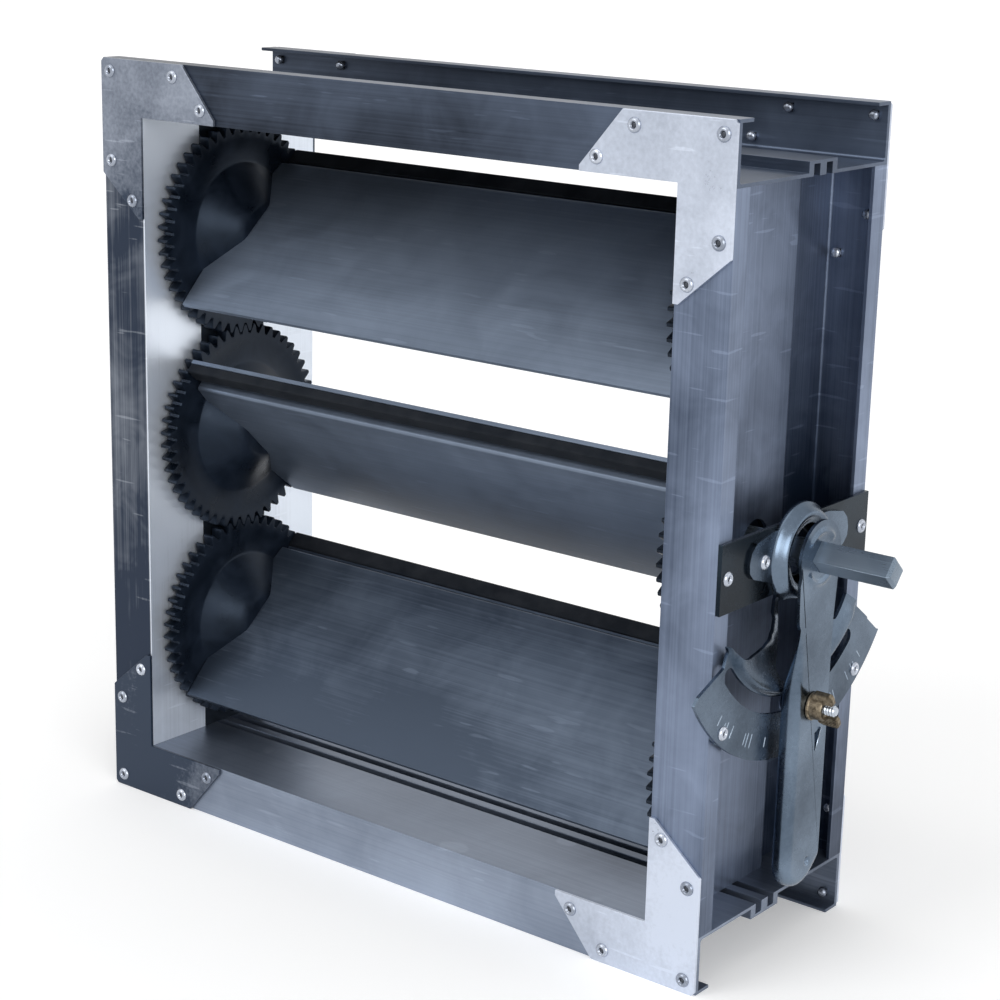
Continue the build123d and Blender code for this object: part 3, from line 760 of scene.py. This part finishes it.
def joined(meshes):
    """One mesh from several, with the points that meet made one."""
    verts = []
    faces = []
    places = {}
    for more_verts, more_faces in meshes:
        numbers = []
        for vert in more_verts:
            key = tuple(round(value, 3) for value in vert)
            if key not in places:
                places[key] = len(verts)
                verts.append(vert)
            numbers.append(places[key])
        faces += [tuple(numbers[corner] for corner in face) for face in more_faces]
    return verts, faces


def rise(value, start, end):
    """Smooth step from zero at the start to one at the end."""
    share = min(1.0, max(0.0, (value - start) / (end - start)))
    return share * share * (3 - 2 * share)


def on_side(verts, face):
    """Vertices in millimetres about the axis, set on a face that looks to +X."""
    return [(face + height * MM, across * MM, AXIS_HEIGHT + up * MM) for across, up, height in verts]


def crease(piece, degrees=35):
    """Sharp normals at corners and smooth ones elsewhere."""
    piece.data.set_sharp_from_angle(angle=math.radians(degrees))


# Quadrant, in millimetres about the spindle axis: outlines from the rear of the band round to its front

REAR_END = [
    (72.0, -51.9), (62.3, -44.5), (62.4, -43.7), (50.1, -34.9), (50.8, -33.7), (41.8, -27.7),
    (39.6, -30.5), (35.3, -35.4), (33.1, -37.4),
]
LEG_SIDE = [
    (28.9, -37.2), (25.0, -35.9), (21.6, -33.0), (19.7, -29.2),
    (19.2, -26.0), (17.6, -13.1), (18.9, -11.3), (20.0, -9.2),
]
EAR_EDGE = [(36.0, -4.0), (39.0, -1.0), (39.5, 3.0), (38.2, 7.6), (34.5, 11.0), (22.1, 13.5), (17.4, 13.5)]
FRONT_END = [
    (-36.5, -37.7), (-39.5, -37.4), (-41.6, -36.8), (-43.6, -35.8), (-52.1, -28.8), (-53.7, -28.5),
    (-52.3, -31.4), (-54.8, -37.7), (-73.0, -45.4), (-75.9, -48.2),
]
WINDOW = [(15.5, -18.0), (13.5, -33.9), (14.8, -47.9), (12.5, -53.4), (6.9, -56.0)]


def mirrored(points):
    """Points on the other side of the middle, in the opposite order."""
    return [(-across, up) for across, up in reversed(points)]


def quadrant_loops():
    """Outline, window, hub hole and slot of the quadrant."""
    right = LEG_SIDE + EAR_EDGE
    outer = arc(90, 212.6, 324.7, 60) + REAR_END + right + arc(22, 38, 142, 24) + mirrored(right) + FRONT_END
    window = WINDOW + mirrored(WINDOW)
    slot = arc(62.3, 219.5, 312.5, 50) + arc(3.7, 132.5, -47.5, 8, (44.6, -48.7))
    slot += arc(69.7, 312.5, 219.5, 56) + arc(3.7, 219.5, 39.5, 8, (-50.9, -42.0))
    return [
        softened(divided(outer, 1.6), 1),
        softened(divided(window, 1.6), 1),
        arc(13.5, 0, 352.5, 47),
        softened(divided(slot, 1.6), 1),
    ]


def leg_tree():
    """Search tree of the points along the sides of both legs."""
    points = LEG_SIDE + mirrored(LEG_SIDE)
    tree = KDTree(len(points))
    for number, (across, up) in enumerate(points):
        tree.insert((across, up, 0), number)
    tree.balance()
    return tree


LEG_TREE = leg_tree()


def quadrant_height(across, up):
    """Height of the outer face over its sheet: hub dome, bead and rolled leg edges."""
    radius = math.hypot(across, up)
    angle = math.degrees(math.atan2(up, across)) % 360
    dome = 5.0 * rise(radius, 22.6, 17.8) - 1.5 * rise(radius, 17.0, 13.5)
    slope = 0
    if 200 < angle < 340:
        fade = rise(angle, 214, 222) * rise(angle, 326, 318)
        slope = 2.6 * rise(radius, 46.0, 59.4) * rise(radius, 61.8, 59.4) * (0.45 + 0.55 * fade)
    from_leg = LEG_TREE.find((across, up, 0))[2]
    lip = 1.1 * rise(from_leg, 4.2, 1.2) * rise(up, -13.0, -19.0) * rise(up, -38.0, -33.0)
    return FLAT + dome + slope + lip


def make_quadrant():
    """Pressed quadrant with its dome, bead and slot, and the pads behind its lower rivets."""
    loops = quadrant_loops()
    guides = [
        [point for loop in loops for point in inset(loop, 0.5)],
        rings([14.3, 15.0, 15.8, 16.6, 17.4, 18.2, 19.0, 19.8, 20.6, 21.4, 22.2, 23.0], 0.9),
        rings([46.0, 48.0, 50.0, 52.0, 54.0, 55.8, 57.2, 58.4, 59.4, 60.2, 61.0, 61.8], 1.5),
        rings([64.0, 70.5, 72.5], 1.5),
    ]
    verts, faces = plate_mesh(loops, 1.6, quadrant_height, underside(quadrant_height), guides)
    verts = on_side(verts, MOUNT_FACE)
    piece = new_piece("quadrant_pressed", verts, faces, "frame", LOOKS["zinc"], "zinc_steel")
    crease(piece, 50)
    pads = ([], [])
    verts, faces = turned_profile([(5.2, -2.0), (5.4, -1.6), (5.4, 0.3), (4.8, 0.4)], 28)
    for across in (-RIVET_OUT, RIVET_OUT):
        add_mesh(pads, [(x + across, y - BAND_DROP, height) for x, y, height in verts], faces)
    verts, faces = pads
    pad = new_piece("quadrant_pads", on_side(verts, MOUNT_FACE), faces, "frame", LOOKS["zinc"], "zinc_steel")
    crease(pad)
    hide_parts("quadrant")


# Scale lines on the front arm: angle in degrees and length in millimetres
MARKS = [
    (226.6, 5.0), (230.3, 3.0), (231.8, 5.5), (235.2, 6.0),
    (243.6, 5.5), (245.2, 6.5), (247.4, 6.5), (255.8, 4.5),
]
MARK_RADIUS = 82.0
# Share of the length, half width and height of the ridge at four places along a line
MARK_SHAPE = [(-0.5, 0.05, 0.02), (-0.42, 0.32, 0.22), (0.42, 0.32, 0.22), (0.5, 0.05, 0.02)]


def make_marks():
    """Stamped scale lines on both arms of the band."""
    verts = []
    faces = []
    for angle, length in MARKS + [(540 - angle, length) for angle, length in MARKS]:
        turn = math.radians(angle)
        along = Vector((math.cos(turn), math.sin(turn), 0))
        side = Vector((-along.y, along.x, 0))
        middle = along * MARK_RADIUS
        base = len(verts)
        for share, width, height in MARK_SHAPE:
            centre = middle + along * (share * length)
            rows = [centre - side * width, centre + Vector((0, 0, height)), centre + side * width]
            verts += [tuple(vert) for vert in rows]
        for row in range(len(MARK_SHAPE) - 1):
            for column in range(2):
                low = base + row * 3 + column
                faces.append((low, low + 1, low + 4, low + 3))
    # The lines wear the lighter zinc copy, a painted highlight
    piece = new_piece("scale_marks", on_side(verts, QUADRANT_FACE), faces, "frame", LOOKS["mark"], "zinc_steel")
    crease(piece)


# Lever, in millimetres about the spindle axis

FOLD_RADIUS = 4.4
FOLD_TOP = -29.0
LEVER_HALF = 13.2
LEVER_END = -136.8
REAR_TOP = -30.2
CRESCENT_RADIUS = 11.2
DIMPLE = (4.0, -139.0)


def fold_path():
    """Points down the front edge and round the end, with their outward directions and depths."""
    path = []
    up = FOLD_TOP
    while up > LEVER_END:
        path.append(((-LEVER_HALF, up), (-1.0, 0.0), rise(up, -28.0, -62.0)))
        up -= 1.2
    for step in range(0, 46):
        angle = math.radians(180 + 4 * step)
        outward = (math.cos(angle), math.sin(angle))
        place = (LEVER_HALF * outward[0], LEVER_END + LEVER_HALF * outward[1])
        path.append((place, outward, 1.0 - rise(step, 30, 45)))
    return path


def moved_in(place, outward, inset_by):
    """Point moved inwards from the edge."""
    return (place[0] - outward[0] * inset_by, place[1] - outward[1] * inset_by)


def fold_start():
    """Points where the flat of the lever meets its rolled edge."""
    return [moved_in(place, outward, FOLD_RADIUS) for place, outward, _ in fold_path()]


def lever_loops():
    """Outline of the flat of the lever, spindle hole and pointer opening."""
    head = arc(16, -4, 184, 60)
    neck = [(-15.5, -10.0), (-15.1, -19.0), (-14.7, -24.8), (-14.3, -27.0), (-LEVER_HALF, FOLD_TOP)]
    rear = [(LEVER_HALF, LEVER_END - (LEVER_END - REAR_TOP) * step / 90) for step in range(91)]
    rear += open_line([(13.4, -28.5), (15.7, -2.3)], 1.3)
    outer = head + open_line(neck, 1.3) + fold_start() + rear
    hole = [(7.1, 0.3), (-0.3, 7.1), (-7.1, -0.3), (0.3, -7.1)]
    pointer = [(7.6, -78.2), (3.5, -79.5), (4.5, -88.0)]
    return [outer, divided(hole, 1.2), divided(pointer, 1.2)]


def lever_height(across, up):
    """Outer face of the lever: two pressed crescents round the spindle and a dimple at the end."""
    radius = math.hypot(across, up)
    angle = math.degrees(math.atan2(up, across)) % 180
    ends = rise(angle, 28, 44) * rise(angle, 152, 136)
    crescents = math.exp(-((radius - CRESCENT_RADIUS) / 1.25) ** 2) * ends
    away = math.hypot(across - DIMPLE[0], up - DIMPLE[1])
    dimple = 1.2 * rise(away, 2.5, 0.6)
    return FLAT + crescents - dimple


def fold_section():
    """Points across the rolled edge: distance from the edge, height, and height where it isn't rolled."""
    turns = [math.radians(10 * step) for step in range(10)]
    small = FOLD_RADIUS - THICK
    section = []
    for turn in turns:
        section.append((FOLD_RADIUS * (1 - math.sin(turn)), FLAT - FOLD_RADIUS * (1 - math.cos(turn)), FLAT))
    section += [(0.0, -4.5, FLAT), (0.05, -5.6, FLAT), (0.3, -5.95, 1.4), (1.1, -5.95, 0.2), (1.4, -5.6, UNDER)]
    for turn in reversed(turns):
        section.append((THICK + small * (1 - math.sin(turn)), UNDER - small * (1 - math.cos(turn)), UNDER))
    return section


def make_fold():
    """Edge of the lever that is rolled back, as a strip along the outline."""
    section = fold_section()
    path = fold_path()
    verts = []
    faces = []
    for place, outward, share in path:
        for inset_by, height, level in section:
            verts.append((*moved_in(place, outward, inset_by), level + (height - level) * share))
    count = len(section)
    for row in range(len(path) - 1):
        for column in range(count - 1):
            low = row * count + column
            faces.append((low, low + 1, low + count + 1, low + count))
    return verts, faces + end_faces(len(path), count)


def make_lever():
    """Pressed lever: flat with its rolled edge, and the raised pointer."""
    back = LEVER_FACE - SHEET
    loops = lever_loops()
    guides = [
        rings([8.0, 8.8, 9.5, 10.1, 10.7, CRESCENT_RADIUS, 11.7, 12.3, 13.0, 13.8, 14.8], 0.8),
        rings([0.6, 1.1, 1.6, 2.1, 2.6, 3.2], 0.6, DIMPLE),
        [point for loop in loops for point in inset(loop, 0.5)],
    ]
    flat = plate_mesh(loops, 1.5, lever_height, underside(lever_height), guides, fold_start())
    verts, faces = joined([flat, make_fold()])
    piece = new_piece("lever_pressed", on_side(verts, back), faces, "middle_blade", LOOKS["zinc"], "zinc_steel")
    crease(piece, 50)
    wedge = [
        (7.9, -77.9, FLAT), (7.9, -77.9, 2.5), (4.7, -88.1, FLAT),
        (4.8, -87.6, 1.9), (8.7, -78.4, FLAT), (5.3, -88.3, FLAT),
    ]
    sides = [(0, 1, 3, 2), (1, 4, 5, 3), (0, 4, 1), (2, 3, 5), (0, 2, 5, 4)]
    # The pointer wears the lighter zinc copy, a painted highlight
    new_piece("lever_pointer", on_side(wedge, back), sides, "middle_blade", LOOKS["mark"], "zinc_steel")
    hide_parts("lever")


# Clamp, in millimetres about the bolt

THREAD_PITCH = 1.3
THREAD_START = 0.2
THREAD_LENGTH = 11.7
THREAD_ROOT = 1.98
THREAD_DEPTH = 0.52
NUT_PROFILE = [
    (2.6, 0.15), (6.0, 0.12), (6.3, 0.4), (6.2, 1.1), (5.7, 1.5),
    (5.45, 3.5), (5.0, 6.4), (4.6, 6.95), (3.2, 7.0), (2.6, 6.6),
]
WING_OUTLINE = [
    (3.3, 1.0), (5.6, 0.8), (7.6, 2.0), (9.4, 3.8), (9.4, 10.6), (8.6, 11.7),
    (7.4, 12.0), (4.6, 12.0), (4.0, 11.2), (4.0, 6.4), (3.3, 5.4),
]
WING_TURN = 118.0


def clamp_side(verts):
    """Vertices in millimetres about the clamp bolt, from the lever's face outwards."""
    middle = AXIS_HEIGHT - CLAMP_DROP
    return [(LEVER_FACE + height * MM, across * MM, middle + up * MM) for across, up, height in verts]


def make_thread():
    """Threaded end of the clamp bolt, and its shank with the head behind the quadrant."""
    rows = 101
    around = 24
    verts = []
    for row in range(rows):
        height = THREAD_START + THREAD_LENGTH * row / (rows - 1)
        fade = rise(height, 11.9, 11.2)
        for step in range(around):
            share = step / around
            wave = abs(2 * ((height / THREAD_PITCH - share) % 1.0) - 1)
            radius = THREAD_ROOT + THREAD_DEPTH * wave * fade - 0.2 * (1 - fade)
            turn = 2 * math.pi * share
            verts.append((radius * math.cos(turn), radius * math.sin(turn), height))
    faces = ring_faces(rows, around) + end_faces(rows, around)
    thread = new_piece("bolt_thread", clamp_side(verts), faces, "middle_blade", LOOKS["bolt"], "zinc_steel")
    crease(thread, 50)
    back = (MOUNT_FACE - LEVER_FACE) / MM - 1.5
    head = [(5.4, back), (6.0, back + 0.4), (6.0, back + 1.2), (5.6, back + 1.4)]
    profile = head + [(2.5, back + 1.45), (2.5, 0.6)]
    verts, faces = turned_profile(profile, 24)
    shank = new_piece("bolt_shank", clamp_side(verts), faces, "middle_blade", LOOKS["bolt"], "zinc_steel")
    crease(shank)
    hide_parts("clamp_bolt")


def wing_grip(across, up):
    """Half thickness of a wing with its pressed diamond grip."""
    ridges = abs(math.sin((across + up) * 2.4)) * abs(math.sin((across - up) * 2.4))
    edge = rise(across, 9.4, 8.3) * rise(up, 12.0, 11.0) * rise(up, 0.4, 2.0)
    return 0.98 + 0.42 * edge * (0.3 + ridges)


def make_wing_nut():
    """Wing nut: flanged hub and two gripped wings."""
    closed = NUT_PROFILE + NUT_PROFILE[:1]
    verts, _ = turned_profile(closed, 40)
    verts, faces = joined([(verts, ring_faces(len(closed), 40))])
    nut = new_piece("nut_hub", clamp_side(verts), faces, "wing_nut", LOOKS["brass"], "nut_brass")
    crease(nut, 40)
    loop = softened(divided(WING_OUTLINE, 0.5), 1)
    verts, faces = plate_mesh([loop], 0.24, wing_grip, lambda across, up: -wing_grip(across, up))
    faces = [tuple(reversed(face)) for face in faces]
    turn = math.radians(WING_TURN)
    for name, side in (("nut_wing_upper", 1), ("nut_wing_lower", -1)):
        turned = []
        for reach, height, thick in verts:
            across = side * (reach * math.cos(turn) - thick * math.sin(turn))
            up = side * (reach * math.sin(turn) + thick * math.cos(turn))
            turned.append((across, up, height))
        wing = new_piece(name, clamp_side(turned), faces, "wing_nut", LOOKS["brass"], "nut_brass")
        crease(wing, 60)
    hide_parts("wing_nut")


# Gears, in millimetres: radius and angle in degrees up one flank of a tooth

TOOTH_FLANK = [
    (47.55, -2.78), (47.9, -2.62), (48.6, -2.28), (49.3, -1.95), (50.0, -1.63),
    (50.7, -1.33), (51.3, -1.06), (51.75, -0.84), (52.0, -0.52),
]
TOOTH_ROUNDING = 0.45
TEETH = 50
REST_TURN = 47.5
AXIS_SPACING = 100.0
LOWEST_AXIS = 84.0
JOURNAL_LENGTH = 5.5


def tooth_profile():
    """Radius and angle in degrees along one tooth, from gap to gap, with curved flanks."""
    return TOOTH_FLANK + [(radius, -angle) for radius, angle in reversed(TOOTH_FLANK)]


def gear_rows():
    """Rows of the gear from its journal round the teeth to the tip of the cone.

    Each has its radius, or None on the teeth, how far the teeth are drawn in there, and its height.
    """
    face = [(9.95, JOURNAL_LENGTH), (9.95, 0.0), (30.0, 0.0), (31.0, -0.5), (43.5, -0.5), (44.5, 0.0)]
    teeth = [(TOOTH_ROUNDING, 0.0), (0.0, -0.4), (0.0, -6.1), (TOOTH_ROUNDING, -6.5)]
    back = [(44.5, -6.5), (43.6, -6.2), (35.4, -6.2), (34.0, -6.5), (33.0, -6.6)]
    cone = [(33.0 - 20.0 * share, -6.5 - 14.0 * share) for share in (0.03, 0.2, 0.4, 0.6, 0.8, 0.96)]
    tip = [(12.4, -20.35), (11.6, -20.5)]
    rows = [(radius, 0.0, height) for radius, height in face]
    rows += [(None, drawn_in, height) for drawn_in, height in teeth]
    return rows + [(radius, 0.0, height) for radius, height in back + cone + tip]


def gear_mesh(number, side):
    """Gear of a blade on one side, turned as at rest."""
    pitch = 360.0 / TEETH
    turn = REST_TURN if number == 1 else -REST_TURN
    middle = LOWEST_AXIS + AXIS_SPACING * number
    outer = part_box("gear_right_middle")[1].x / MM - JOURNAL_LENGTH
    profile = tooth_profile()
    starts = [tooth * pitch + pitch / 4 for tooth in range(TEETH)]
    columns = [(radius, start + angle) for start in starts for radius, angle in profile]
    rows = gear_rows()
    verts = []
    for radius, drawn_in, height in rows:
        for tooth_radius, angle in columns:
            reach = tooth_radius - drawn_in if radius is None else radius
            place = math.radians(90.0 + angle + turn)
            across = reach * math.cos(place)
            up = middle + reach * math.sin(place)
            verts.append((side * (outer + height) * MM, across * MM, up * MM))
    faces = ring_faces(len(rows), len(columns)) + end_faces(len(rows), len(columns))
    if side > 0:
        faces = [tuple(reversed(face)) for face in faces]
    return verts, faces


def make_gears():
    """Six gears with rounded tooth edges and smooth cones."""
    for number, place in enumerate(("bottom", "middle", "top")):
        for name, side in (("left", -1), ("right", 1)):
            body = place + "_blade"
            verts, faces = gear_mesh(number, side)
            piece = new_piece(f"gear_{name}_{place}_moulded", verts, faces, body, LOOKS["gear"], "gear_plastic")
            crease(piece, 32)
            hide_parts(f"gear_{name}_{place}")


make_camera()
for name, sun in SUNS.items():
    add_sun(name, *sun)
make_world()
make_floor()
dress_nodes()
make_rivets()
make_quadrant()
make_marks()
make_lever()
make_thread()
make_wing_nut()
make_gears()
